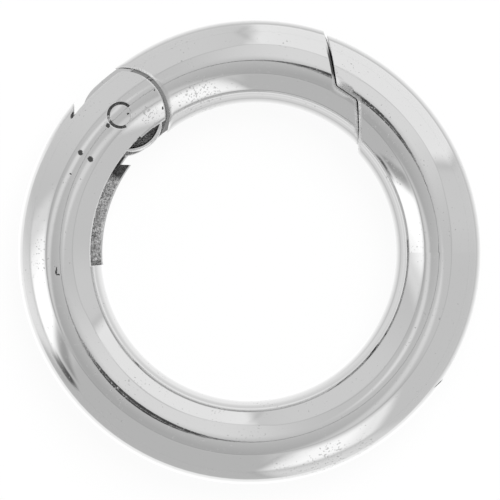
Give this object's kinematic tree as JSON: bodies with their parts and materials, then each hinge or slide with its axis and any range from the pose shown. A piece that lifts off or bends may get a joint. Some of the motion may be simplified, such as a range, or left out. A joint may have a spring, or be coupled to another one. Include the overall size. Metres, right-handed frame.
{
  "type": "round carabiner",
  "caption": "Round spring-gate ring: a thick polished ring with a curved gate that swings inwards on a riveted hinge and meets the ring in a stepped nose.",
  "frame": {"origin": "centre of the ring's round bar circle, in the ring's middle plane", "axes": "+Z along the ring's axis, out of the side with the open rivet recess; +X and +Y in the ring's plane, with the gate on the +Y side and its hinge towards -X"},
  "size_m": [0.03, 0.0301, 0.0054],
  "materials": {
    "plated_ring": "polished nickel plate on a zinc casting, as cast inside the slots",
    "plated_gate": "polished nickel plate on a zinc casting, as cast on the knuckle",
    "rivet_steel": "ground flush and plated with the ring",
    "spring_wire": "bright drawn wire"
  },
  "bodies": {
    "ring": {"ring_body": "plated_ring", "hinge_pin": "rivet_steel", "torsion_spring": "spring_wire"},
    "gate": {"gate": "plated_gate"}
  },
  "joints": [
    {"name": "gate_hinge", "type": "hinge", "parent": "ring", "child": "gate", "pos_m": [-0.0083, 0.00884, 0], "axis": [0, 0, 1], "range_deg": [-45, 0], "stiffness_Nm_per_rad": 0.0021, "springref_deg": 45.84, "deforming": ["torsion_spring"]}
  ]
}
